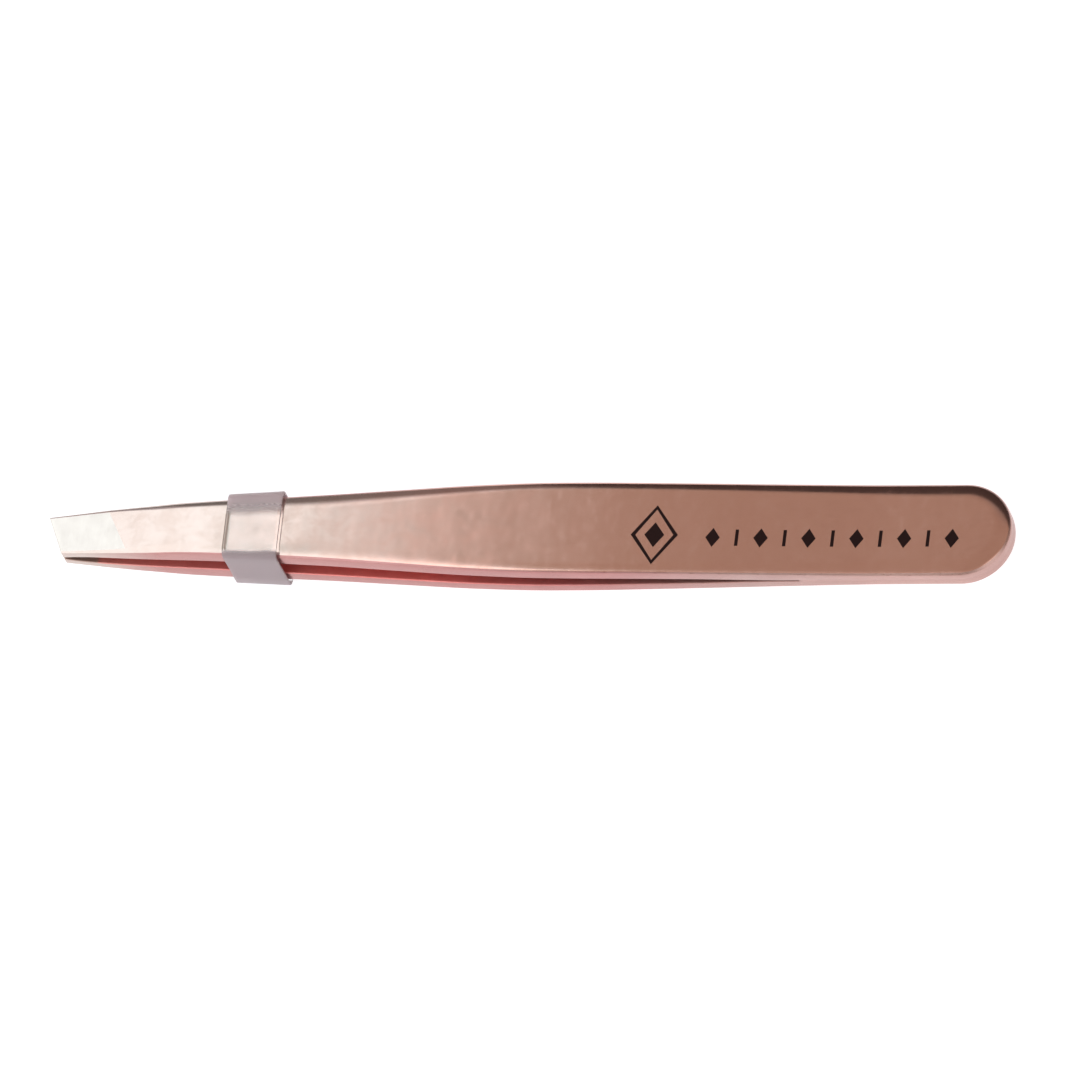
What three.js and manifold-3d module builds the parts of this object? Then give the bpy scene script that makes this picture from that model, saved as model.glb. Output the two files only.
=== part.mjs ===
// Slant tweezers: two sprung steel arms welded together at a round butt, rose-gold plated, with a
// clear plastic sleeve that holds the slanted tips shut until it is slid off over them.
//
// Frame: +X points from the tips to the butt, +Y goes across the arms, +Z up through the stacked
// arms. The origin is at the middle of the length and width, level with the sleeve's underside.
// Everything is in millimetres. The arms are mirror images in the mid-plane between them.
import * as THREE from 'three';
import { mergeVertices } from 'three/addons/utils/BufferGeometryUtils.js';
import Module from 'manifold-3d';

const wasm = await Module();
wasm.setup();

// Overall size.
const LENGTH = 95;
const TIP_X = -LENGTH / 2;
const BUTT_X = LENGTH / 2;
const BUTT_HALF_WIDTH = 4.82;

// Half the width of an arm along its length: narrow at the tip, full width from the middle on.
const HALF_WIDTH = [
  [-47.5, 1.9], [-38, 2.5], [-30, 2.87], [-20, 3.44], [-12, 4.02], [-5, 4.5], [2, 4.77],
  [8, BUTT_HALF_WIDTH],
];

// Height of an arm's outer face above the mid-plane, with the tips shut: thin and flat at the butt,
// bowed out over the grip, and bent in again at the knee ahead of the tips.
const KNEE_HEIGHT = 2.86;
const OUTER_HEIGHT = [
  [-47.5, 1.35], [-41.5, 1.78], [-37.5, 2.28], [-33.5, 2.73], [-30, KNEE_HEIGHT], [-25, 2.83], [-20, 2.76],
  [-12, 2.63], [-3, 2.47], [7, 2.27], [17, 1.95], [27, 1.6], [36, 1.4],
];

// Height of its inner face. The arm is ground thinner at the butt, where it springs, and its inner
// face is ground flat from the tip back to x = -42.6, so that the tips meet at their very ends.
const INNER_HEIGHT = [
  [-47.5, 0.06], [-46, 0.16], [-44.4, 0.4], [-42.6, 0.56], [-37, 0.72], [-31, 0.86], [-20, 0.98],
  [-12, 0.9], [-3, 0.8], [7, 0.66], [17, 0.42], [22, 0.2], [26, 0.1], [36, 0.1],
];

// The arms' outer edges are polished to a quarter of an ellipse, which is widest behind the sleeve and
// round the butt. The inner edges are only broken.
const EDGE_WIDTH = [
  [-47.5, 0.16], [-41, 0.35], [-36, 0.7], [-28, 1], [-20, 1.6], [-8, 1.3], [0, 1], [16, 1.1],
  [30, 1.4], [41, 1.7],
];
const EDGE_DEPTH = [[-47.5, 0.16], [-41, 0.35], [-36, 0.55], [16, 0.58], [41, 0.65]];
const INNER_EDGE_ROUND = 0.1;
const EDGE_STEPS = 5;           // straight facets in each edge
const STATION_STEP = 1.5;       // spacing of the cross-sections along an arm
const BUTT_STEPS = 12;          // cross-sections round the butt's end
const BUTT_LAST_ANGLE = THREE.MathUtils.degToRad(84);

// The tip is ground off at a slant, with a shallow bevel on the outer face behind it.
const TIP_SLANT = THREE.MathUtils.degToRad(23);
const BEVEL_SLANT = THREE.MathUtils.degToRad(28);
const BEVEL_LENGTH = 6.4;       // from the tip to the bevel's upper edge, on the centre line
const BEVEL_DROP = 0.38;        // height that the bevel takes off at the tip
const GRIND_SIZE = 30;          // larger than anything that is ground

// The arms bend over a stretch ahead of the weld. It is cut here, so that each arm can turn as one.
const FLEX_X = 17.5;
const FLEX_SLIT = 0.2;

// Weld metal between the butts.
const WELD_FRONT_X = 27;
const WELD_HALF_HEIGHT = 0.08;
const WELD_INSET = 0.1;
const WELD_ARC_STEPS = 24;

// The sleeve: a flattened tube, a little wider at the end nearer the butt.
const SLEEVE_TIP_X = -29.3;
const SLEEVE_BUTT_X = -23.9;
const SLEEVE_WALL = 0.26;
const SLEEVE_SIDE_GAP = 0.2;
const SLEEVE_FACE_GAP = 0.26;
const SLEEVE_BORE_ROUND = 0.35;
const SLEEVE_CORNER_STEPS = 5;

const SLEEVE_HALF_HEIGHT = KNEE_HEIGHT + SLEEVE_FACE_GAP + SLEEVE_WALL;
const MID_PLANE_Z = SLEEVE_HALF_HEIGHT;

// A smooth curve through (x, value) knots that never overshoots them, level beyond the ends.
function smoothProfile(knots) {
  const last = knots.length - 1;
  const rise = (i) => (knots[i + 1][1] - knots[i][1]) / (knots[i + 1][0] - knots[i][0]);
  const slopes = knots.map((knot, i) => {
    if (i === 0) return rise(0);
    if (i === last) return 0;
    const before = rise(i - 1);
    const after = rise(i);
    return before * after <= 0 ? 0 : (2 * before * after) / (before + after);
  });
  return (x) => {
    if (x <= knots[0][0]) return knots[0][1] + slopes[0] * (x - knots[0][0]);
    if (x >= knots[last][0]) return knots[last][1];
    const i = knots.findIndex((knot) => knot[0] > x) - 1;
    const span = knots[i + 1][0] - knots[i][0];
    const t = (x - knots[i][0]) / span;
    const start = (1 + 2 * t) * (1 - t) ** 2 * knots[i][1] + t * (1 - t) ** 2 * span * slopes[i];
    const end = t * t * (3 - 2 * t) * knots[i + 1][1] + t * t * (t - 1) * span * slopes[i + 1];
    return start + end;
  };
}

const halfWidthAt = smoothProfile(HALF_WIDTH);
const outerHeightAt = smoothProfile(OUTER_HEIGHT);
const innerHeightAt = smoothProfile(INNER_HEIGHT);
const edgeWidthAt = smoothProfile(EDGE_WIDTH);
const edgeDepthAt = smoothProfile(EDGE_DEPTH);

// Points round a rectangle with rounded corners, counter-clockwise seen from +X.
function roundedRing(x, halfWidth, low, high, round, steps) {
  const corners = [
    [halfWidth - round, high - round, 0],
    [round - halfWidth, high - round, 90],
    [round - halfWidth, low + round, 180],
    [halfWidth - round, low + round, 270],
  ];
  return corners.flatMap(([y, z, startAngle]) => Array.from({ length: steps + 1 }, (_, i) => {
    const angle = THREE.MathUtils.degToRad(startAngle + (90 * i) / steps);
    return new THREE.Vector3(x, y + round * Math.cos(angle), z + round * Math.sin(angle));
  }));
}

// A closed skin over rings of equal length, given in the order of rising x. Each ring's points run
// from its +Y side over the top, and as many lie on the -Y side as on the +Y side.
function loft(rings) {
  const count = rings[0].length;
  const positions = rings.flat().flatMap((point) => point.toArray());
  const index = [];
  for (let r = 0; r < rings.length - 1; r += 1) {
    for (let i = 0; i < count; i += 1) {
      const a = r * count + i;
      const b = r * count + ((i + 1) % count);
      index.push(a, b, a + count);
      index.push(b, b + count, a + count);
    }
  }
  const lastRing = (rings.length - 1) * count;
  for (let i = 0; i < count / 2 - 1; i += 1) {
    const plus = (count / 4 - 1 - i + count) % count;
    const nextPlus = (plus - 1 + count) % count;
    const minus = count / 4 + i;
    index.push(plus, minus + 1, minus);
    index.push(plus, nextPlus, minus + 1);
    index.push(lastRing + plus, lastRing + minus, lastRing + minus + 1);
    index.push(lastRing + plus, lastRing + minus + 1, lastRing + nextPlus);
  }
  const geometry = new THREE.BufferGeometry();
  geometry.setAttribute('position', new THREE.Float32BufferAttribute(positions, 3));
  geometry.setIndex(index);
  return geometry;
}

function toManifold(geometry) {
  const bare = geometry.clone();
  bare.deleteAttribute('normal');
  bare.deleteAttribute('uv');
  const merged = mergeVertices(bare, 1e-5);
  return new wasm.Manifold(new wasm.Mesh({
    numProp: 3,
    vertProperties: Float32Array.from(merged.attributes.position.array),
    triVerts: Uint32Array.from(merged.index.array),
  }));
}

function toGeometry(solid) {
  const mesh = solid.getMesh();
  const geometry = new THREE.BufferGeometry();
  geometry.setAttribute('position', new THREE.Float32BufferAttribute(mesh.vertProperties, 3));
  geometry.setIndex(Array.from(mesh.triVerts));
  return geometry;
}

// A block of what is ground away. It fills one side of the origin, the side that `direction` faces.
function grindingBlock(direction) {
  const block = new THREE.BoxGeometry(GRIND_SIZE, GRIND_SIZE, GRIND_SIZE);
  return block.translate(...direction.multiplyScalar(GRIND_SIZE / 2).toArray());
}

// One loop round the upper arm, where its outline passes through (x, y) and (x, -y). The edges run in
// from the outline at an angle to the Y axis, which is 0 along the arm and turns with the round end.
function armLoop(x, y, turn = 0) {
  const edge = (side, width, depth, height) => Array.from({ length: EDGE_STEPS + 1 }, (_, i) => {
    const angle = (Math.PI / 2) * (i / EDGE_STEPS);
    const reach = width * (1 - Math.cos(angle));
    return new THREE.Vector3(
      x - reach * Math.sin(turn),
      side * (y - reach * Math.cos(turn)),
      height - depth * (1 - Math.sin(angle)),
    );
  });
  const outer = (side) => edge(side, edgeWidthAt(x), edgeDepthAt(x), outerHeightAt(x));
  const inner = (side) => edge(side, INNER_EDGE_ROUND, -INNER_EDGE_ROUND, innerHeightAt(x));
  return [...outer(1), ...outer(-1).reverse(), ...inner(-1), ...inner(1).reverse()];
}

function armSection(x) {
  return armLoop(x, halfWidthAt(x));
}

// Cross-sections at even steps from one x to another, both ends included.
function evenSections(fromX, toX) {
  const steps = Math.ceil((toX - fromX) / STATION_STEP);
  return Array.from({ length: steps + 1 }, (_, i) => armSection(fromX + ((toX - fromX) * i) / steps));
}

// The sprung part of the upper arm, from the slanted tip to the flexure.
function sprungArm() {
  const blank = toManifold(loft(evenSections(TIP_X - 1, FLEX_X - FLEX_SLIT / 2)));

  // The slant: the arm's +Y corner is the point of the tip.
  const slantX = TIP_X + halfWidthAt(TIP_X) * Math.tan(TIP_SLANT);
  const slantCut = grindingBlock(new THREE.Vector3(-1, 0, 0));
  slantCut.rotateZ(TIP_SLANT);
  slantCut.translate(slantX, 0, 0);

  // The bevel: a plane through a slanting line across the outer face, falling away to the tip.
  const bevelX = slantX + BEVEL_LENGTH;
  const faceFall = (outerHeightAt(bevelX + 1) - outerHeightAt(bevelX - 1)) / 2;
  const bevelFall = (outerHeightAt(bevelX) - outerHeightAt(slantX) + BEVEL_DROP) / BEVEL_LENGTH;
  const run = Math.tan(BEVEL_SLANT);
  const along = new THREE.Vector3(-run, 1, -run * faceFall).normalize();
  const normal = new THREE.Vector3(1, 0, bevelFall).cross(along).normalize();
  const bevelCut = grindingBlock(new THREE.Vector3(0, 0, 1));
  bevelCut.applyMatrix4(new THREE.Matrix4().makeBasis(along.clone().cross(normal), along, normal));
  bevelCut.translate(bevelX, 0, outerHeightAt(bevelX));
  return toGeometry(blank.subtract(toManifold(slantCut)).subtract(toManifold(bevelCut)));
}

// The fixed part of the upper arm, from the flexure to the round end of the butt.
function buttEnd() {
  const arcX = BUTT_X - BUTT_HALF_WIDTH * Math.sin(BUTT_LAST_ANGLE);
  const arc = Array.from({ length: BUTT_STEPS }, (_, i) => {
    const angle = (BUTT_LAST_ANGLE * (i + 1)) / BUTT_STEPS;
    return armLoop(arcX + BUTT_HALF_WIDTH * Math.sin(angle), BUTT_HALF_WIDTH * Math.cos(angle), angle);
  });
  return loft([...evenSections(FLEX_X + FLEX_SLIT / 2, arcX), ...arc]);
}

// Weld metal: a thin layer with the butt's outline, set in from its edges.
function weldSeam() {
  const radius = BUTT_HALF_WIDTH - WELD_INSET;
  const outline = new THREE.Shape();
  outline.moveTo(WELD_FRONT_X, -radius);
  outline.absarc(BUTT_X - BUTT_HALF_WIDTH, 0, radius, -Math.PI / 2, Math.PI / 2, false);
  outline.lineTo(WELD_FRONT_X, radius);
  outline.closePath();
  const seam = new THREE.ExtrudeGeometry(outline, {
    depth: 2 * WELD_HALF_HEIGHT,
    bevelEnabled: false,
    curveSegments: WELD_ARC_STEPS,
  });
  return seam.translate(0, 0, -WELD_HALF_HEIGHT);
}

// The sleeve: an outer skin less a bore that runs out past both ends.
function tipSleeve() {
  const boreHalfWidth = (x) => halfWidthAt(x) + SLEEVE_SIDE_GAP;
  const tube = (fromX, toX, wall) => loft([fromX, toX].map((x) => roundedRing(
    x,
    boreHalfWidth(x) + wall,
    -(KNEE_HEIGHT + SLEEVE_FACE_GAP + wall),
    KNEE_HEIGHT + SLEEVE_FACE_GAP + wall,
    SLEEVE_BORE_ROUND + wall,
    SLEEVE_CORNER_STEPS,
  )));
  const skin = toManifold(tube(SLEEVE_TIP_X, SLEEVE_BUTT_X, SLEEVE_WALL));
  const bore = toManifold(tube(SLEEVE_TIP_X - 1, SLEEVE_BUTT_X + 1, 0));
  return toGeometry(skin.subtract(bore));
}

// The lower arm is the upper one mirrored in the mid-plane, so both tips have the same slant.
function mirrored(geometry) {
  const copy = geometry.clone().scale(1, 1, -1);
  const index = copy.index.array;
  for (let i = 0; i < index.length; i += 3) [index[i], index[i + 1]] = [index[i + 1], index[i]];
  return copy;
}

const roseGold = new THREE.MeshStandardMaterial({ color: 0xb8806e, roughness: 0.25, metalness: 1 });
const weldMetal = new THREE.MeshStandardMaterial({ color: 0x9c8078, roughness: 0.5, metalness: 1 });
const clearPlastic = new THREE.MeshStandardMaterial({
  color: 0xcfc6cf, roughness: 0.3, metalness: 0, transparent: true, opacity: 0.5,
});

const tweezers = new THREE.Group();
tweezers.position.z = MID_PLANE_Z;

function addPart(name, geometry, material) {
  const mesh = new THREE.Mesh(geometry, material);
  mesh.name = name;
  tweezers.add(mesh);
}

const armGeometry = sprungArm();
const buttGeometry = buttEnd();
addPart('upper_arm', armGeometry, roseGold);
addPart('lower_arm', mirrored(armGeometry), roseGold);
addPart('upper_arm_butt', buttGeometry, roseGold);
addPart('lower_arm_butt', mirrored(buttGeometry), roseGold);
addPart('butt_weld', weldSeam(), weldMetal);
addPart('tip_sleeve', tipSleeve(), clearPlastic);

export default tweezers;
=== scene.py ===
"""Slant tweezers in rose-gold plate, with a clear sleeve over the tips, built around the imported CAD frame.

Each arm is one continuous strip, which bends across its flexure. The frame's units are metres; the arm's
profiles are given in millimetres along the frame's X, as the part is designed.
"""
import math

import bmesh
import bpy
import numpy as np
from mathutils import Matrix, Vector


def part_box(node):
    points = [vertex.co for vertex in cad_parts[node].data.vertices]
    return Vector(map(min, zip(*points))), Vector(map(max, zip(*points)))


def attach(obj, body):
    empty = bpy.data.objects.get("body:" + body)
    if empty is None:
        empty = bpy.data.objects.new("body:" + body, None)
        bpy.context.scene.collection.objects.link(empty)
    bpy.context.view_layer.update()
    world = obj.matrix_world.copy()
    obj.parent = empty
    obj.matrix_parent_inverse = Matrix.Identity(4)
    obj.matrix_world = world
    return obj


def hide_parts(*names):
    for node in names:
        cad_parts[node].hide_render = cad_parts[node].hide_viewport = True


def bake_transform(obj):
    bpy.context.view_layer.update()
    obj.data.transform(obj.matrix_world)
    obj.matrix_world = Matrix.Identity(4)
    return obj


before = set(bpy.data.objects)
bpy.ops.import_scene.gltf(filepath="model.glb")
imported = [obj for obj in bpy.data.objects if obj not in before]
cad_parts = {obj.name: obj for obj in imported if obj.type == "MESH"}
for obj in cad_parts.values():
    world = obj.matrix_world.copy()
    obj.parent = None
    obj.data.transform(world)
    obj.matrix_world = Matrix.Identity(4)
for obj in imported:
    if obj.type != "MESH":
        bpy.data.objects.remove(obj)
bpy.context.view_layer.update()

MM = 0.001

# ---------------------------------------------------------------- the frame's own places, in millimetres

arm_low, arm_high = (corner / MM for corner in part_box("upper_arm"))
butt_low, butt_high = (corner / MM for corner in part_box("upper_arm_butt"))
lower_butt_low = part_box("lower_arm_butt")[0] / MM
sleeve_low, sleeve_high = (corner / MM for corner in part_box("tip_sleeve"))

TIP_X = arm_low.x
BUTT_X = butt_high.x
BUTT_HALF_WIDTH = butt_high.y
MID_PLANE = (butt_high.z + lower_butt_low.z) / 2

# ---------------------------------------------------------------- the arm's profiles, as in the CAD design

HALF_WIDTH = [
    (-47.5, 1.9), (-38, 2.5), (-30, 2.87), (-20, 3.44), (-12, 4.02), (-5, 4.5), (2, 4.77),
    (8, BUTT_HALF_WIDTH),
]
OUTER_HEIGHT = [
    (-47.5, 1.35), (-41.5, 1.78), (-37.5, 2.28), (-33.5, 2.73), (-30, 2.86), (-25, 2.83), (-20, 2.76),
    (-12, 2.63), (-3, 2.47), (7, 2.27), (17, 1.95), (27, 1.6), (36, 1.4),
]
INNER_HEIGHT = [
    (-47.5, 0.06), (-46, 0.16), (-44.4, 0.4), (-42.6, 0.56), (-37, 0.72), (-31, 0.86), (-20, 0.98),
    (-12, 0.9), (-3, 0.8), (7, 0.66), (17, 0.42), (22, 0.2), (26, 0.1), (36, 0.1),
]
EDGE_WIDTH = [
    (-47.5, 0.16), (-41, 0.35), (-36, 0.7), (-28, 1.0), (-20, 1.6), (-8, 1.3), (0, 1.0), (16, 1.1),
    (30, 1.4), (41, 1.7),
]
EDGE_DEPTH = [(-47.5, 0.16), (-41, 0.35), (-36, 0.55), (16, 0.58), (41, 0.65)]
INNER_ROUND = [(-47.5, 0.06), (-40, 0.09), (20, 0.09), (27, 0.03)]      # inner edges, left nearly sharp
TIP_ROUND = 0.05                # the ground tip's own edges
TIP_SLANT = math.tan(math.radians(23))
BEVEL_SLANT = math.tan(math.radians(28))
BEVEL_LENGTH = 6.4
BEVEL_DROP = 0.38
SLANT_FADE = 16                 # length behind the bevel over which the mesh lines turn square


def smooth_profile(knots):
    """A smooth curve through (x, value) knots that never overshoots them, level past the last one."""
    x, y = (np.array(column, float) for column in zip(*knots))
    rise = np.diff(y) / np.diff(x)
    slope = np.zeros(len(x))
    slope[0] = rise[0]
    for i in range(1, len(x) - 1):
        if rise[i - 1] * rise[i] > 0:
            slope[i] = 2 * rise[i - 1] * rise[i] / (rise[i - 1] + rise[i])

    def value(at):
        at = np.asarray(at, float)
        inside = np.clip(at, x[0], x[-1])
        i = np.clip(np.searchsorted(x, inside, side="right") - 1, 0, len(x) - 2)
        span = x[i + 1] - x[i]
        t = (inside - x[i]) / span
        start = (1 + 2 * t) * (1 - t) ** 2 * y[i] + t * (1 - t) ** 2 * span * slope[i]
        end = t * t * (3 - 2 * t) * y[i + 1] + t * t * (t - 1) * span * slope[i + 1]
        return start + end + slope[0] * np.minimum(at - x[0], 0)

    return value


half_width = smooth_profile(HALF_WIDTH)
outer_height = smooth_profile(OUTER_HEIGHT)
inner_height = smooth_profile(INNER_HEIGHT)
edge_width = smooth_profile(EDGE_WIDTH)
edge_depth = smooth_profile(EDGE_DEPTH)
inner_round = smooth_profile(INNER_ROUND)

SLANT_X = TIP_X + float(half_width(TIP_X)) * TIP_SLANT
BEVEL_X = SLANT_X + BEVEL_LENGTH
FACE_FALL = float(outer_height(BEVEL_X + 1) - outer_height(BEVEL_X - 1)) / 2
BEVEL_FALL = (float(outer_height(BEVEL_X) - outer_height(SLANT_X)) + BEVEL_DROP) / BEVEL_LENGTH


def face_height(x, y):
    """Height of the arm's outer face above the mid-plane: the strip, less the bevel behind the tip."""
    bevel = outer_height(BEVEL_X) + BEVEL_FALL * (x - BEVEL_X) + BEVEL_SLANT * (BEVEL_FALL - FACE_FALL) * y
    ahead = x < BEVEL_X - BEVEL_SLANT * y
    return np.where(ahead, np.minimum(bevel, outer_height(x)), outer_height(x))


# ---------------------------------------------------------------- mesh helpers


def new_object(name, vertices, faces, material_slots, face_slots=None, smooth=True):
    """A mesh object from points in millimetres."""
    mesh = bpy.data.meshes.new(name)
    mesh.from_pydata([tuple(c * MM for c in v) for v in vertices], [], faces)
    for material in material_slots:
        mesh.materials.append(material)
    if face_slots is not None:
        mesh.polygons.foreach_set("material_index", face_slots)
    work = bmesh.new()
    work.from_mesh(mesh)
    bmesh.ops.remove_doubles(work, verts=work.verts, dist=1e-3 * MM)
    bmesh.ops.dissolve_degenerate(work, edges=work.edges, dist=1e-4 * MM)
    bmesh.ops.recalc_face_normals(work, faces=work.faces)
    for face in work.faces:
        face.smooth = smooth
    work.to_mesh(mesh)
    work.free()
    mesh.update()
    piece = bpy.data.objects.new(name, mesh)
    bpy.context.scene.collection.objects.link(piece)
    return piece


def grid_faces(rows, columns, closed_columns=True):
    """Quads over a grid of points given row by row."""
    last = columns if closed_columns else columns - 1
    return [
        (r * columns + c, r * columns + (c + 1) % columns,
         (r + 1) * columns + (c + 1) % columns, (r + 1) * columns + c)
        for r in range(rows - 1) for c in range(last)
    ]


def smoothstep(t):
    t = np.clip(t, 0, 1)
    return t * t * (3 - 2 * t)


# ---------------------------------------------------------------- the arms

FILLET_STEPS = 12
WALL_STEPS = 4                  # how many of them look like the side wall below
INNER_FILLET_STEPS = 4
ACROSS_STEPS = 14
SUPPORT = 0.02                  # share of the width at which a flat face's first mesh line runs
STATION_STEP = 0.5
BUTT_STEPS = 30


def across_shares():
    """Where mesh lines run over a flat face from one edge to the other, as shares of its width."""
    middle = np.linspace(0, 1, ACROSS_STEPS + 1)[1:-1]
    return np.concatenate(([SUPPORT], middle, [1 - SUPPORT]))


def arm_ring(base_x, slant, butt_angle=None, inset=0.0):
    """One loop of points round the arm: a list of (x, y, z, on the outer face) with z above the mid-plane.

    The loop crosses the arm on the line x = base_x - slant * y. Round the butt it is drawn in by the
    angle of the end's arc, so that the rounded edges run round the end too. inset draws the loop in.
    """
    def side(sign):
        """The outline's point on one side and the direction in from it."""
        if butt_angle is not None:
            centre = BUTT_X - BUTT_HALF_WIDTH
            direction = np.array([math.sin(butt_angle), sign * math.cos(butt_angle)])
            return np.array([centre, 0.0]) + BUTT_HALF_WIDTH * direction, -direction
        width = float(half_width(base_x))
        for _ in range(8):
            width = float(half_width(base_x - sign * slant * width))
        return np.array([base_x - sign * slant * width, sign * width]), np.array([0.0, -sign])

    def edge(sign, steps, outer):
        """A rounded edge, a quarter of an ellipse from the side wall to the flat face."""
        point, inward = side(sign)
        width, depth = (edge_width, edge_depth) if outer else (inner_round, inner_round)
        width, depth = float(width(point[0])), float(depth(point[0]))
        for angle in np.linspace(0, math.pi / 2, steps + 1):
            x, y = point + inward * (inset + width * (1 - math.cos(angle)))
            if butt_angle is None:
                x = base_x - slant * y
            drop = depth * (1 - math.sin(angle)) + inset
            yield (x, y, float(face_height(x, y)) - drop if outer else float(inner_height(x)) + drop)

    outer_plus = list(edge(1, FILLET_STEPS, True))
    outer_minus = list(edge(-1, FILLET_STEPS, True))
    inner_plus = list(edge(1, INNER_FILLET_STEPS, False))
    inner_minus = list(edge(-1, INNER_FILLET_STEPS, False))

    def flat(start, end, outer):
        for share in across_shares():
            x, y = (start[i] + (end[i] - start[i]) * share for i in (0, 1))
            yield (x, y, float(face_height(x, y)) - inset if outer else float(inner_height(x)) + inset)

    return (
        outer_plus + list(flat(outer_plus[-1], outer_minus[-1], True)) + outer_minus[::-1]
        + inner_minus + list(flat(inner_minus[-1], inner_plus[-1], False)) + inner_plus[::-1]
    )


def arm_rings():
    """All the loops of an arm, tip first, and how many of them run round the tip and its bevel."""
    rings = []
    for angle in np.linspace(0, math.pi / 2, 4):
        rings.append(arm_ring(SLANT_X + TIP_ROUND * (1 - math.cos(angle)), TIP_SLANT,
                              inset=TIP_ROUND * (1 - math.sin(angle))))
    for share in np.linspace(0, 1, 15)[1:]:
        rings.append(arm_ring(SLANT_X + TIP_ROUND + (BEVEL_LENGTH - TIP_ROUND) * share,
                              TIP_SLANT + (BEVEL_SLANT - TIP_SLANT) * share))
    bevel_rings = len(rings)
    rings.append(arm_ring(BEVEL_X + 0.06, BEVEL_SLANT))
    straight_end = BUTT_X - BUTT_HALF_WIDTH
    count = int((straight_end - BEVEL_X) / STATION_STEP)
    for x in np.linspace(BEVEL_X, straight_end, count)[1:]:
        rings.append(arm_ring(x, BEVEL_SLANT * (1 - float(smoothstep((x - BEVEL_X) / SLANT_FADE)))))
    for angle in np.linspace(0, math.pi / 2, BUTT_STEPS + 1)[1:]:
        rings.append(arm_ring(0.0, 0.0, butt_angle=angle))
    return rings, bevel_rings


def build_arm(name, turn, materials):
    """One arm. turn is 1 for the upper arm and -1 for the lower, its mirror image in the mid-plane.

    The materials are for the polished outside, the ground steel, the inner face and the side walls.
    """
    rings, bevel_rings = arm_rings()
    count = len(rings[0])
    vertices = [(x, y, MID_PLANE + turn * z) for ring in rings for x, y, z in ring]
    faces = grid_faces(len(rings), count)
    outer_columns = 2 * (FILLET_STEPS + 1) + ACROSS_STEPS + 1
    slots = []
    for r in range(len(rings) - 1):
        for c in range(count):
            on_bevel = r < bevel_rings - 1 and FILLET_STEPS <= c < outer_columns - FILLET_STEPS - 1
            on_inner = outer_columns <= c < count - 1
            on_wall = c < WALL_STEPS or c == count - 1 or outer_columns - 1 - WALL_STEPS <= c < outer_columns
            if on_bevel or r < 3:
                slots.append(1)
            else:
                slots.append(2 if on_inner else 3 if on_wall else 0)
    faces.append(tuple(range(count)))
    slots.append(1)
    return new_object(name, vertices, faces, materials, slots)


# ---------------------------------------------------------------- the weld

WELD_FRONT_X = 27
WELD_HALF_HEIGHT = 0.125        # it fills the gap and the arms' broken inner edges
WELD_SWELL = 0.02               # how far the bead stands out in the middle of its height
WELD_ARC_STEPS = 60
WELD_FRONT_STEPS = 24
WELD_LEVELS = 8


def build_weld(material):
    """The bead of weld metal between the butts, flush with their side walls and dressed smooth."""
    centre, radius = BUTT_X - BUTT_HALF_WIDTH, BUTT_HALF_WIDTH
    outline = [(centre + radius * math.sin(a), -radius * math.cos(a), math.sin(a), -math.cos(a))
               for a in np.linspace(0, math.pi, WELD_ARC_STEPS + 1)]
    outline += [(x, radius, 0.0, 1.0) for x in np.linspace(centre, WELD_FRONT_X, 28)[1:]]
    for share in np.linspace(0, 1, WELD_FRONT_STEPS + 1)[1:-1]:
        y = radius * (1 - 2 * share)
        outline.append((WELD_FRONT_X + 0.7 * (1 - (y / radius) ** 2), y, -1.0, 0.0))
    outline += [(x, -radius, 0.0, -1.0) for x in np.linspace(WELD_FRONT_X, centre, 28)[:-1]]
    levels = np.linspace(-math.pi / 2, math.pi / 2, WELD_LEVELS + 1)
    vertices = [(x + nx * swell, y + ny * swell, MID_PLANE + WELD_HALF_HEIGHT * math.sin(level))
                for level in levels
                for swell in [WELD_SWELL * math.cos(level) - 0.01]
                for x, y, nx, ny in outline]
    count = len(outline)
    faces = grid_faces(len(levels), count)
    faces += [tuple(range(count)), tuple(range(WELD_LEVELS * count, (WELD_LEVELS + 1) * count))]
    return new_object("weld_bead", vertices, faces, [material])


# ---------------------------------------------------------------- the sleeve

SLEEVE_WALL = 0.26
SLEEVE_FOLD = 0.85              # outer radius of the four folds
SLEEVE_RIM = 0.1                # rounding of the cut ends
SLEEVE_SIDE_GAP = 0.2           # between the bore and the arms' edges
SLEEVE_PANEL_CROWN = 0.02       # how far the wide panels swell, so they clear the arms as it slides off
SLEEVE_SIDE_DIP = 0.05
FOLD_STEPS = 8
PANEL_STEPS = 10
SIDE_STEPS = 6
SLEEVE_STATIONS = 16
RIM_STEPS = 4


def sleeve_section(x, depth):
    """Points round the sleeve at x, at a depth in from its outer skin."""
    along = (x - sleeve_low.x) / (sleeve_high.x - sleeve_low.x)
    width = float(half_width(x)) + SLEEVE_SIDE_GAP + SLEEVE_WALL - depth
    height = (sleeve_high.z - sleeve_low.z) / 2 - depth
    fold = SLEEVE_FOLD - depth
    points = []
    corners = [(1, 1), (-1, 1), (-1, -1), (1, -1)]
    for number, (sy, sz) in enumerate(corners):
        for angle in np.radians(90 * number + np.linspace(0, 90, FOLD_STEPS + 1)):
            points.append((sy * (width - fold) + fold * math.cos(angle),
                           sz * (height - fold) + fold * math.sin(angle)))
        wide_panel = number % 2 == 0
        steps = PANEL_STEPS if wide_panel else SIDE_STEPS
        start = points[-1]
        for share in np.linspace(0, 1, steps + 1)[1:-1]:
            swell = math.sin(math.pi * share) ** 2
            if wide_panel:
                lean = SLEEVE_PANEL_CROWN * swell * (0.75 + 0.25 * math.sin(2.2 * along + sz))
                points.append((start[0] * (1 - 2 * share), start[1] + sz * lean))
            else:
                lean = SLEEVE_SIDE_DIP * swell * (0.8 + 0.2 * math.cos(3 * along))
                points.append((start[0] - sy * lean, start[1] * (1 - 2 * share)))
    return [(x, y, MID_PLANE + z) for y, z in points]


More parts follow.
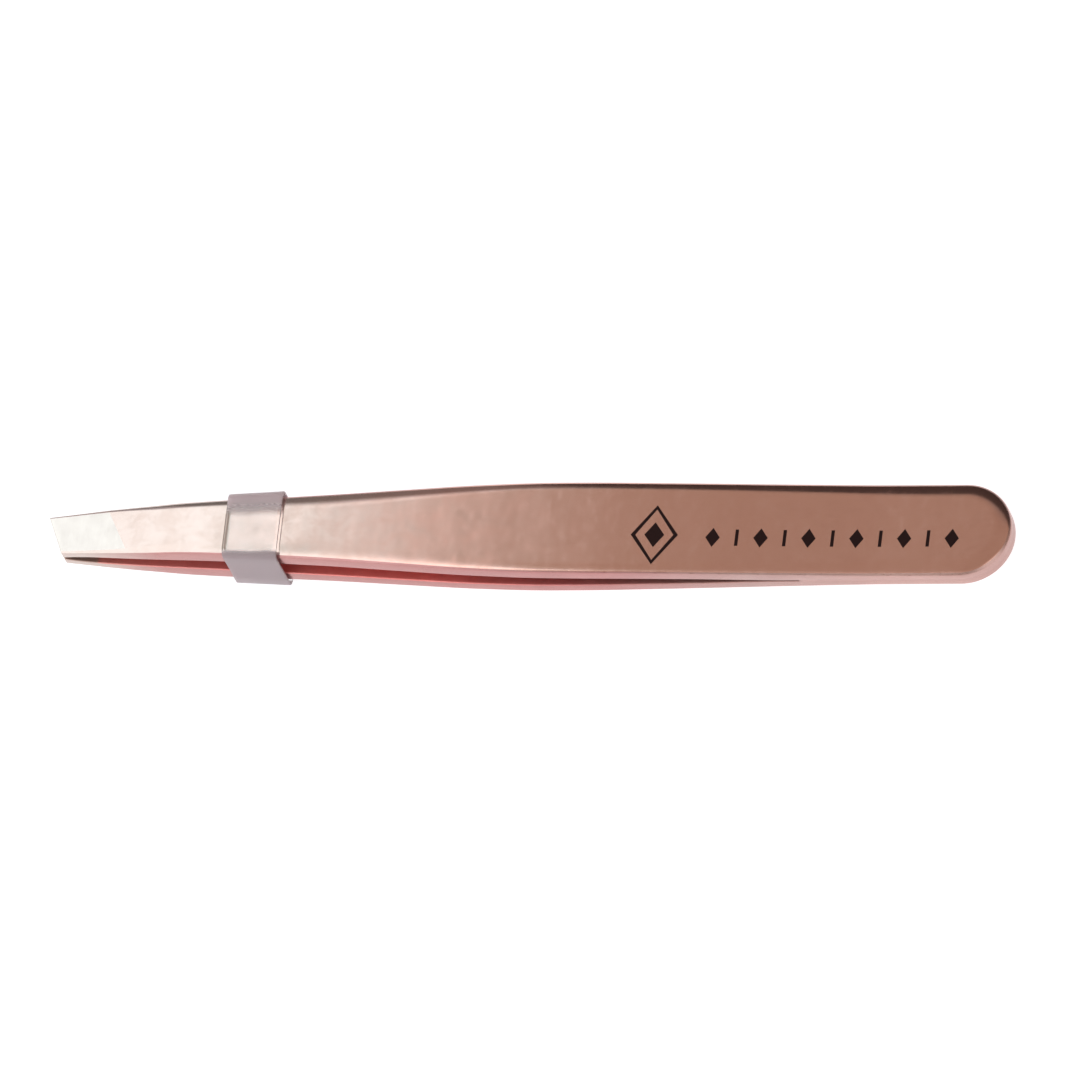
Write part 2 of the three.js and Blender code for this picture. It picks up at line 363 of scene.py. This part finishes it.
def build_sleeve(material):
    """A tube with a closed skin: the outside, a rounded cut end, the bore, and the other cut end."""
    low, high, rim = sleeve_low.x, sleeve_high.x, SLEEVE_RIM
    turn = np.linspace(0, math.pi / 2, RIM_STEPS + 1)
    path = [(x, 0) for x in np.linspace(low + rim, high - rim, SLEEVE_STATIONS)]
    path += [(high - rim + rim * math.sin(a), rim - rim * math.cos(a)) for a in turn[1:]]
    path += [(high - rim + rim * math.cos(a), SLEEVE_WALL - rim + rim * math.sin(a)) for a in turn]
    path += [(x, SLEEVE_WALL) for x in np.linspace(high - rim, low + rim, SLEEVE_STATIONS)[1:]]
    path += [(low + rim - rim * math.sin(a), SLEEVE_WALL - rim + rim * math.cos(a)) for a in turn[1:]]
    path += [(low + rim - rim * math.cos(a), rim - rim * math.sin(a)) for a in turn]
    rings = [sleeve_section(x, depth) for x, depth in path]
    count = len(rings[0])
    vertices = [point for ring in rings for point in ring]
    return new_object("clear_tip_sleeve", vertices, grid_faces(len(rings), count), [material])


# ---------------------------------------------------------------- the printed ornament

INK_THICKNESS = 0.02
INK_LIFT = 0.004                # clear of the plating, so that the two never share a surface
EMBLEM_X = 12.85
EMBLEM_Y = -0.88
EMBLEM_HALF = (2.3, 3.1)
EMBLEM_LINE = 0.34
ROW_START_X = 18.55
ROW_END_X = 41.9
ROW_Y = -1.1
ROW_MARKS = 11
DIAMOND_HALF = (0.7, 1.0)
BAR_HALF = (0.16, 0.85)
INK_STEP = 0.25


def diamond(x, y, half_x, half_y):
    return [(x + half_x, y), (x, y + half_y), (x - half_x, y), (x, y - half_y)]


def bar(x, y, half_x, half_y):
    return [(x + half_x, y - half_y), (x + half_x, y + half_y),
            (x - half_x, y + half_y), (x - half_x, y - half_y)]


def ink_slab(work, outer, inner):
    """A thin closed slab of ink between two outlines with the same number of points."""
    def loop(outline, lift):
        return [work.verts.new((x * MM, y * MM, (MID_PLANE + float(face_height(x, y)) + lift) * MM))
                for x, y in outline]
    top_outer, top_inner = loop(outer, INK_LIFT + INK_THICKNESS), loop(inner, INK_LIFT + INK_THICKNESS)
    low_outer, low_inner = loop(outer, INK_LIFT), loop(inner, INK_LIFT)
    count = len(outer)
    for i in range(count):
        j = (i + 1) % count
        work.faces.new((top_outer[i], top_outer[j], top_inner[j], top_inner[i]))
        work.faces.new((low_outer[j], low_outer[i], low_inner[i], low_inner[j]))
        work.faces.new((low_outer[i], low_outer[j], top_outer[j], top_outer[i]))
        work.faces.new((low_inner[j], low_inner[i], top_inner[i], top_inner[j]))


def build_ornament(material):
    """A plain diamond in a diamond frame, then a row of small diamonds and bars."""
    shapes = []
    frame_outer = diamond(EMBLEM_X, EMBLEM_Y, *EMBLEM_HALF)
    frame_inner = diamond(EMBLEM_X, EMBLEM_Y, *(half - EMBLEM_LINE * 1.3 for half in EMBLEM_HALF))
    shapes.append((frame_outer, frame_inner))
    solid = [diamond(EMBLEM_X, EMBLEM_Y, *(half * 0.42 for half in EMBLEM_HALF))]
    for number in range(ROW_MARKS):
        x = ROW_START_X + (ROW_END_X - ROW_START_X) * number / (ROW_MARKS - 1)
        solid.append(diamond(x, ROW_Y, *DIAMOND_HALF) if number % 2 == 0 else bar(x, ROW_Y, *BAR_HALF))
    for outline in solid:
        middle = np.mean(outline, axis=0)
        shapes.append((outline, [tuple(middle + (np.array(p) - middle) * 0.02) for p in outline]))
    work = bmesh.new()
    for outer, inner in shapes:
        steps = [max(1, math.ceil(math.dist(a, b) / INK_STEP)) for a, b in zip(outer, outer[1:] + outer[:1])]
        fine = [[(a[0] + (b[0] - a[0]) * i / n, a[1] + (b[1] - a[1]) * i / n)
                 for a, b, n in zip(line, line[1:] + line[:1], steps) for i in range(n)]
                for line in (outer, inner)]
        ink_slab(work, *fine)
    bmesh.ops.recalc_face_normals(work, faces=work.faces)
    mesh = bpy.data.meshes.new("printed_ornament")
    work.to_mesh(mesh)
    work.free()
    mesh.materials.append(material)
    piece = bpy.data.objects.new("printed_ornament", mesh)
    bpy.context.scene.collection.objects.link(piece)
    return piece


# ---------------------------------------------------------------- materials


class Nodes:
    """A short way to write a material's node tree."""

    def __init__(self, name):
        self.material = bpy.data.materials.new(name)
        self.material.use_nodes = True
        self.tree = self.material.node_tree
        self.shader = self.tree.nodes["Principled BSDF"]
        self.place = self.add("ShaderNodeTexCoord").outputs["Object"]

    def add(self, kind, inputs=None, **settings):
        node = self.tree.nodes.new(kind)
        for key, value in settings.items():
            setattr(node, key, value)
        for key, value in (inputs or {}).items():
            if isinstance(value, bpy.types.NodeSocket):
                self.tree.links.new(value, node.inputs[key])
            else:
                node.inputs[key].default_value = value
        return node

    def stretched(self, scale, turn=(0, 0, 0)):
        """The object's coordinates in units of 1 / scale metres, per axis."""
        inputs = {"Vector": self.place, "Scale": scale, "Rotation": turn}
        return self.add("ShaderNodeMapping", inputs).outputs[0]

    def noise(self, scale, detail=3, roughness=0.5, distortion=0.0, turn=(0, 0, 0)):
        inputs = {"Vector": self.stretched(scale, turn), "Scale": 1.0, "Detail": detail,
                  "Roughness": roughness, "Distortion": distortion}
        node = self.add("ShaderNodeTexNoise", inputs)
        return node.outputs["Fac"]

    def ranged(self, value, low, high, to_low, to_high, smooth=False):
        kind = "SMOOTHSTEP" if smooth else "LINEAR"
        return self.add("ShaderNodeMapRange", {"Value": value, "From Min": low, "From Max": high,
                                               "To Min": to_low, "To Max": to_high},
                        interpolation_type=kind).outputs["Result"]

    def math(self, operation, a, b=0.0):
        return self.add("ShaderNodeMath", {0: a, 1: b}, operation=operation).outputs[0]

    def mix(self, factor, a, b):
        node = self.add("ShaderNodeMix", {"Factor": factor, "A": a, "B": b}, data_type="RGBA")
        return node.outputs["Result"]

    def along(self, stops):
        """A colour that changes along the object's X, from (x in millimetres, colour) stops."""
        low, high = stops[0][0], stops[-1][0]
        place = self.add("ShaderNodeSeparateXYZ", {"Vector": self.place}).outputs["X"]
        node = self.add("ShaderNodeValToRGB", {"Fac": self.ranged(place, low * MM, high * MM, 0, 1)})
        ramp = node.color_ramp
        while len(ramp.elements) < len(stops):
            ramp.elements.new(0.5)
        for element, (x, colour) in zip(ramp.elements, stops):
            element.position = (x - low) / (high - low)
            element.color = (*colour, 1)
        return node.outputs["Color"]

    def times(self, a, b):
        inputs = {"Factor": 1.0, "A": a, "B": b}
        node = self.add("ShaderNodeMix", inputs, data_type="RGBA", blend_type="MULTIPLY")
        return node.outputs["Result"]

    def bump(self, height, strength, distance, normal=None):
        inputs = {"Height": height, "Strength": strength, "Distance": distance}
        if normal is not None:
            inputs["Normal"] = normal
        return self.add("ShaderNodeBump", inputs).outputs[0]

    def put(self, **inputs):
        """Sets the shader's sockets, whose names have _ for spaces."""
        for key, value in inputs.items():
            socket = self.shader.inputs[key.replace("_", " ")]
            if isinstance(value, bpy.types.NodeSocket):
                self.tree.links.new(value, socket)
            else:
                socket.default_value = value
        return self.material


def rose_gold():
    """Polished plating with slow polishing waves, wheel marks and faint tarnish, painted paler over the tips
    as a painted highlight for the washed-out shine there.
    """
    n = Nodes("rose_gold_plate")
    waves = n.noise((260, 130, 260), detail=2, roughness=0.45)
    wheel = n.noise((900, 16000, 16000), detail=4, roughness=0.6)
    tarnish = n.noise((420, 520, 520), detail=5, roughness=0.62, distortion=0.4)
    smear = n.noise((1400, 700, 900), detail=6, roughness=0.7)
    # Painted highlight: the plating is painted less pink towards the tips, for the washed-out shine there.
    plate_and_painted_light = n.along([(-30, (0.57, 0.475, 0.43)), (-22, (0.64, 0.485, 0.43)), (-8, (0.775, 0.465, 0.395))])
    tarnished = n.ranged(tarnish, 0.32, 0.72, 0, 1, True)
    colour = n.times(plate_and_painted_light, n.mix(tarnished, (1, 1, 1, 1), (0.95, 0.91, 0.89, 1)))
    smeared = n.ranged(smear, 0.45, 0.8, 0, 0.07, True)
    roughness = n.math("ADD", n.ranged(tarnish, 0.3, 0.7, 0.13, 0.19), smeared)
    roughness = n.math("ADD", roughness, n.ranged(wheel, 0.3, 0.7, -0.015, 0.015))
    normal = n.bump(waves, 0.14, 0.00012)
    normal = n.bump(wheel, 0.12, 0.000002, normal)
    return n.put(Base_Color=colour, Metallic=1.0, Roughness=roughness, Normal=normal)


def satin_gold():
    """The arms' inner faces, plated but not polished, and ground to bare steel just behind the tips. Their
    colour is painted: deep red for the light bounced between the arms in the gap, and dull brown over the
    bare land for the shade between the tips.
    """
    n = Nodes("rose_gold_satin")
    tumble = n.noise((2600, 2600, 2600), detail=4, roughness=0.6)
    patch = n.noise((350, 350, 350), detail=3)
    # Painted reflection and shade: deep red where light bounces between the arms in the gap, and dull brown
    # over the bare land between the tips.
    plate_and_painted_light = n.along([(-42.7, (0.5, 0.36, 0.31)), (-42.5, (0.74, 0.33, 0.29)), (-33, (0.75, 0.3, 0.28)),
                     (-22, (0.82, 0.29, 0.265)), (-10, (0.84, 0.29, 0.265)), (4, (0.64, 0.25, 0.24)),
                     (16, (0.5, 0.29, 0.26))])
    colour = n.times(plate_and_painted_light, n.mix(n.ranged(patch, 0.3, 0.7, 0, 1), (1, 1, 1, 1), (0.91, 0.86, 0.85, 1)))
    return n.put(Base_Color=colour, Metallic=1.0, Roughness=n.ranged(tumble, 0.3, 0.7, 0.45, 0.57),
                 Normal=n.bump(tumble, 0.3, 0.00001))


def wall_gold():
    """The narrow side walls: sheared, then tumbled, with fine lengthwise marks. Their colour is painted
    duller and pinker than the face: painted shade, with the red light from the gap between the arms painted
    in.
    """
    n = Nodes("rose_gold_wall")
    drag = n.noise((700, 9000, 9000), detail=4, roughness=0.6)
    patch = n.noise((300, 700, 700), detail=4, roughness=0.6)
    # Painted shade: the walls are painted darker and redder than the face, for the shade on them and the red
    # light from the gap, and less pink near the tips.
    plate_and_painted_light = n.along([(-43.5, (0.6, 0.5, 0.455)), (-36, (0.51, 0.265, 0.25)), (8, (0.5, 0.245, 0.235)),
                     (22, (0.5, 0.335, 0.31)), (36, (0.57, 0.365, 0.33))])
    colour = n.times(plate_and_painted_light, n.mix(n.ranged(patch, 0.3, 0.7, 0, 1), (1, 1, 1, 1), (0.9, 0.87, 0.87, 1)))
    return n.put(Base_Color=colour, Metallic=1.0, Roughness=n.ranged(drag, 0.3, 0.7, 0.24, 0.36),
                 Normal=n.bump(drag, 0.25, 0.000004))


def ground_steel():
    """Bare steel where the tips were ground after plating, with fine marks across the blade."""
    n = Nodes("ground_steel")
    marks = n.noise((9000, 700, 700), detail=3, roughness=0.6, turn=(0, 0, math.radians(23)))
    patch = n.noise((600, 600, 600), detail=4, roughness=0.6)
    colour = n.mix(n.ranged(patch, 0.35, 0.7, 0, 1), (0.695, 0.65, 0.6, 1), (0.67, 0.625, 0.577, 1))
    roughness = n.math("ADD", n.ranged(patch, 0.3, 0.7, 0.3, 0.36), n.ranged(marks, 0.35, 0.65, 0, 0.06))
    return n.put(Base_Color=colour, Metallic=1.0, Roughness=roughness, Normal=n.bump(marks, 0.2, 0.000003))


def weld_metal():
    """Plated weld metal between the butts: duller, with a slight ripple."""
    n = Nodes("weld_metal")
    ripple = n.noise((1500, 1500, 400), detail=4, roughness=0.6)
    heat = n.noise((300, 300, 300), detail=3)
    colour = n.mix(heat, (0.58, 0.375, 0.34, 1), (0.52, 0.325, 0.3, 1))
    return n.put(Base_Color=colour, Metallic=1.0, Roughness=n.ranged(ripple, 0.3, 0.7, 0.28, 0.4),
                 Normal=n.bump(ripple, 0.5, 0.00003))


def clear_plastic():
    """Soft clear plastic, milky on its narrow sides and where it is folded over the arms' edges; the folds
    are also painted a darker pink-grey, a painted shade for the arms' dark edges seen through them.
    """
    n = Nodes("clear_sleeve")
    across = n.add("ShaderNodeSeparateXYZ", {"Vector": n.place}).outputs["Y"]
    cloud = n.noise((350, 500, 500), detail=3)
    grain = n.noise((2600, 2600, 2600), detail=3)
    edge = n.math("ADD", across, n.ranged(cloud, 0.3, 0.7, -0.00015, 0.00015))
    far_fold = n.ranged(edge, 0.0009, 0.0024, 0, 1, True)
    near_fold = n.ranged(edge, -0.0027, -0.0032, 0, 1, True)
    folded = n.math("MAXIMUM", far_fold, near_fold)
    # Painted shade: the folds are painted a darker pink-grey for the arms' shaded edges seen through the
    # plastic; their milkiness is the plastic's own.
    colour = n.mix(near_fold, n.mix(far_fold, (1, 1, 1, 1), (0.76, 0.63, 0.65, 1)), (0.5, 0.405, 0.425, 1))
    roughness = n.math("ADD", n.ranged(folded, 0, 1, 0.05, 0.3), n.ranged(grain, 0.3, 0.7, 0, 0.05))
    return n.put(Base_Color=colour, Roughness=roughness, Transmission_Weight=n.ranged(folded, 0, 1, 1, 0.5),
                 IOR=1.4, Normal=n.bump(cloud, 0.2, 0.00006))


def ink():
    """Pad-printed ink, a very dark brown, with a soft uneven surface."""
    n = Nodes("print_ink")
    speck = n.noise((9000, 9000, 9000), detail=3)
    colour = n.mix(speck, (0.012, 0.002, 0.002, 1), (0.022, 0.006, 0.005, 1))
    return n.put(Base_Color=colour, Roughness=n.ranged(speck, 0.3, 0.7, 0.5, 0.65), Specular_IOR_Level=0.15,
                 Normal=n.bump(speck, 0.2, 0.000004))


# ---------------------------------------------------------------- the studio

VIEW_AZIMUTH = math.radians(32)
VIEW_ELEVATION = math.radians(60)
VIEW_TILT = math.radians(0.33)
VIEW_WIDTH = 101.96             # what the frame takes in, in millimetres
VIEW_SHIFT = (0.61, 0.03)       # the frame's middle from the tweezers' middle, to the right and up
LENS = 1400                     # long, so the tweezers hardly taper
SENSOR = 36
CAMERA_CLIP = (0.05, 60)        # in metres


def make_camera():
    """A long lens, rolled so that the tweezers lie level across the frame."""
    a, e = VIEW_AZIMUTH, VIEW_ELEVATION
    back = Vector((math.sin(a) * math.cos(e), -math.cos(a) * math.cos(e), math.sin(e)))
    right = (Vector((1, 0, 0)) - back * back.x).normalized()
    up = back.cross(right)
    right, up = (right * math.cos(VIEW_TILT) - up * math.sin(VIEW_TILT),
                 up * math.cos(VIEW_TILT) + right * math.sin(VIEW_TILT))
    target = Vector(((TIP_X + BUTT_X) / 2, 0, MID_PLANE)) + right * VIEW_SHIFT[0] + up * VIEW_SHIFT[1]
    place = (target + back * (VIEW_WIDTH * LENS / SENSOR)) * MM
    data = bpy.data.cameras.new("camera")
    data.lens, data.sensor_width = LENS, SENSOR
    data.clip_start, data.clip_end = CAMERA_CLIP
    camera = bpy.data.objects.new("camera", data)
    camera.matrix_world = Matrix.Translation(place) @ Matrix((right, up, back)).transposed().to_4x4()
    bpy.context.scene.collection.objects.link(camera)
    bpy.context.scene.camera = camera


# The room is dim and warm. Each patch of light or shade has a direction, the cosines at its edge and at
# its full part, and a radiance, which is added or, for the shade, put in place of what is there.
ROOM = (0.45, 0.365, 0.3)
PATCHES = [
    ("ADD", (0.69, -0.53, 0.49), 0.82, 0.95, (0.75, 0.85, 0.9)),        # a window beyond the butt
    ("ADD", (-0.3, -0.9, 0.25), 0.6, 0.92, (0.17, 0.22, 0.25)),         # the near side of the room
    ("MIX", (0.1, 0.95, 0.3), 0.7, 0.88, (0.26, 0.25, 0.25)),           # its shaded far side
]

# Cards stand on the far side: a black one behind the butt and a grey one behind the tips. Each has a
# name, the ends of its X range and its colour.
CARDS = [
    ("black_card", (-32, 260), (0.026, 0.019, 0.017)),
    ("grey_card", (-420, -101), (0.6, 0.55, 0.6)),
]
CARD_Y = 120
CARD_TOP = 150

# The soft box hangs over the tips. Its light fades out towards the butt: (x, colour), x in millimetres.
BOX_HEIGHT = 300
BOX_Y = (-340, 300)
BOX_SOFT_Y = (165, 280)          # where it fades out towards the far side
BOX_X = (-520, -45)
BOX_BRIGHTNESS = 2
BOX_FADE = [
    (-105, (0.92, 0.97, 1.0)), (-101, (0.56, 0.76, 0.81)), (-97, (0.38, 0.475, 0.465)),
    (-93, (0.285, 0.317, 0.31)), (-87, (0.25, 0.263, 0.24)), (-82, (0.26, 0.264, 0.243)),
    (-76, (0.257, 0.222, 0.188)),
    (-68, (0.236, 0.2, 0.162)), (-54, (0.225, 0.1825, 0.15)),
]

# Its skirt hangs on the near side, so that the arms' near edges are as bright as the tips.
SKIRT_Y = -345
SKIRT_FADE_SHIFT = 29           # its light fades out this much nearer the tips
SKIRT_X = (-620, -60)

FLOOR_HALF = 2000
FLOOR_LEVEL = -0.05             # just under the sleeve


def make_room():
    """Light from all round, as a function of direction."""
    world = bpy.data.worlds.new("studio")
    bpy.context.scene.world = world
    world.use_nodes = True
    tree = world.node_tree
    background = tree.nodes["Background"]
    direction = tree.nodes.new("ShaderNodeTexCoord").outputs["Generated"]

    def cap(centre, edge, full):
        dot = tree.nodes.new("ShaderNodeVectorMath")
        dot.operation = "DOT_PRODUCT"
        tree.links.new(direction, dot.inputs[0])
        dot.inputs[1].default_value = Vector(centre).normalized()
        soft = tree.nodes.new("ShaderNodeMapRange")
        soft.interpolation_type = "SMOOTHSTEP"
        tree.links.new(dot.outputs["Value"], soft.inputs["Value"])
        soft.inputs["From Min"].default_value = edge
        soft.inputs["From Max"].default_value = full
        return soft.outputs["Result"]

    def combine(kind, factor, first, colour):
        node = tree.nodes.new("ShaderNodeMix")
        node.data_type = "RGBA"
        node.blend_type = kind
        tree.links.new(factor, node.inputs["Factor"])
        if isinstance(first, bpy.types.NodeSocket):
            tree.links.new(first, node.inputs["A"])
        else:
            node.inputs["A"].default_value = (*first, 1)
        node.inputs["B"].default_value = (*colour, 1)
        return node.outputs["Result"]

    light = ROOM
    for kind, centre, edge, full, colour in PATCHES:
        light = combine(kind, cap(centre, edge, full), light, colour)
    tree.links.new(light, background.inputs["Color"])


def make_soft_box():
    """A level panel that glows downwards, and its skirt, both out of the camera's sight."""
    n = Nodes("soft_box")
    across = n.add("ShaderNodeSeparateXYZ", {"Vector": n.place}).outputs["Y"]
    soft_from, soft_to = (y * MM for y in BOX_SOFT_Y)
    strength = n.ranged(across, soft_from, soft_to, BOX_BRIGHTNESS, 0.3 * BOX_BRIGHTNESS, True)
    n.put(Base_Color=(0, 0, 0, 1), Specular_IOR_Level=0.0, Emission_Color=n.along(BOX_FADE),
          Emission_Strength=strength)
    corners = [(x, y, BOX_HEIGHT) for x, y in
               [(BOX_X[0], BOX_Y[0]), (BOX_X[0], BOX_Y[1]), (BOX_X[1], BOX_Y[1]), (BOX_X[1], BOX_Y[0])]]
    box = new_object("soft_box", corners, [(0, 1, 2, 3)], [n.material], smooth=False)
    shift = SKIRT_FADE_SHIFT
    corners = [(x + shift, SKIRT_Y, z) for x, z in
               [(SKIRT_X[0], 0), (SKIRT_X[1], 0), (SKIRT_X[1], BOX_HEIGHT), (SKIRT_X[0], BOX_HEIGHT)]]
    skirt = new_object("soft_box_skirt", corners, [(0, 1, 2, 3)], [n.material], smooth=False)
    skirt.location.x = -shift * MM
    for panel in (box, skirt):
        panel.visible_camera = False


def make_card(name, ends, colour):
    """An upright card, out of the camera's sight."""
    n = Nodes(name)
    n.put(Base_Color=(0.02, 0.015, 0.014, 1), Roughness=0.9, Emission_Color=(*colour, 1),
          Emission_Strength=1.0)
    corners = [(x, CARD_Y, z) for x, z in
               [(ends[0], 0), (ends[1], 0), (ends[1], CARD_TOP), (ends[0], CARD_TOP)]]
    card = new_object(name, corners, [(0, 1, 2, 3)], [n.material], smooth=False)
    card.visible_camera = False


def make_floor():
    """A plain pale floor under the tweezers."""
    n = Nodes("pale_floor")
    n.put(Base_Color=(0.5, 0.5, 0.5, 1), Roughness=0.9, Specular_IOR_Level=0.0,
          Emission_Color=(1, 1, 1.03, 1), Emission_Strength=0.8)
    half, level = FLOOR_HALF, FLOOR_LEVEL
    corners = [(-half, -half, level), (half, -half, level), (half, half, level), (-half, half, level)]
    floor = new_object("floor", corners, [(0, 1, 2, 3)], [n.material], smooth=False)


# ---------------------------------------------------------------- assembly

arm_materials = [rose_gold(), ground_steel(), satin_gold(), wall_gold()]

for side_name, turn in (("upper", 1), ("lower", -1)):
    arm = build_arm(f"{side_name}_arm_strip", turn, arm_materials)
    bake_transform(arm)
    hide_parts(f"{side_name}_arm", f"{side_name}_arm_butt")

weld = build_weld(weld_metal())
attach(weld, "butt")
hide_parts("butt_weld")

sleeve = build_sleeve(clear_plastic())
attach(sleeve, "sleeve")
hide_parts("tip_sleeve")

ornament = build_ornament(ink())
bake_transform(ornament)

make_camera()
make_room()
make_soft_box()
for card_name, card_ends, card_colour in CARDS:
    make_card(card_name, card_ends, card_colour)
make_floor()
bpy.context.scene.view_settings.view_transform = "Standard"
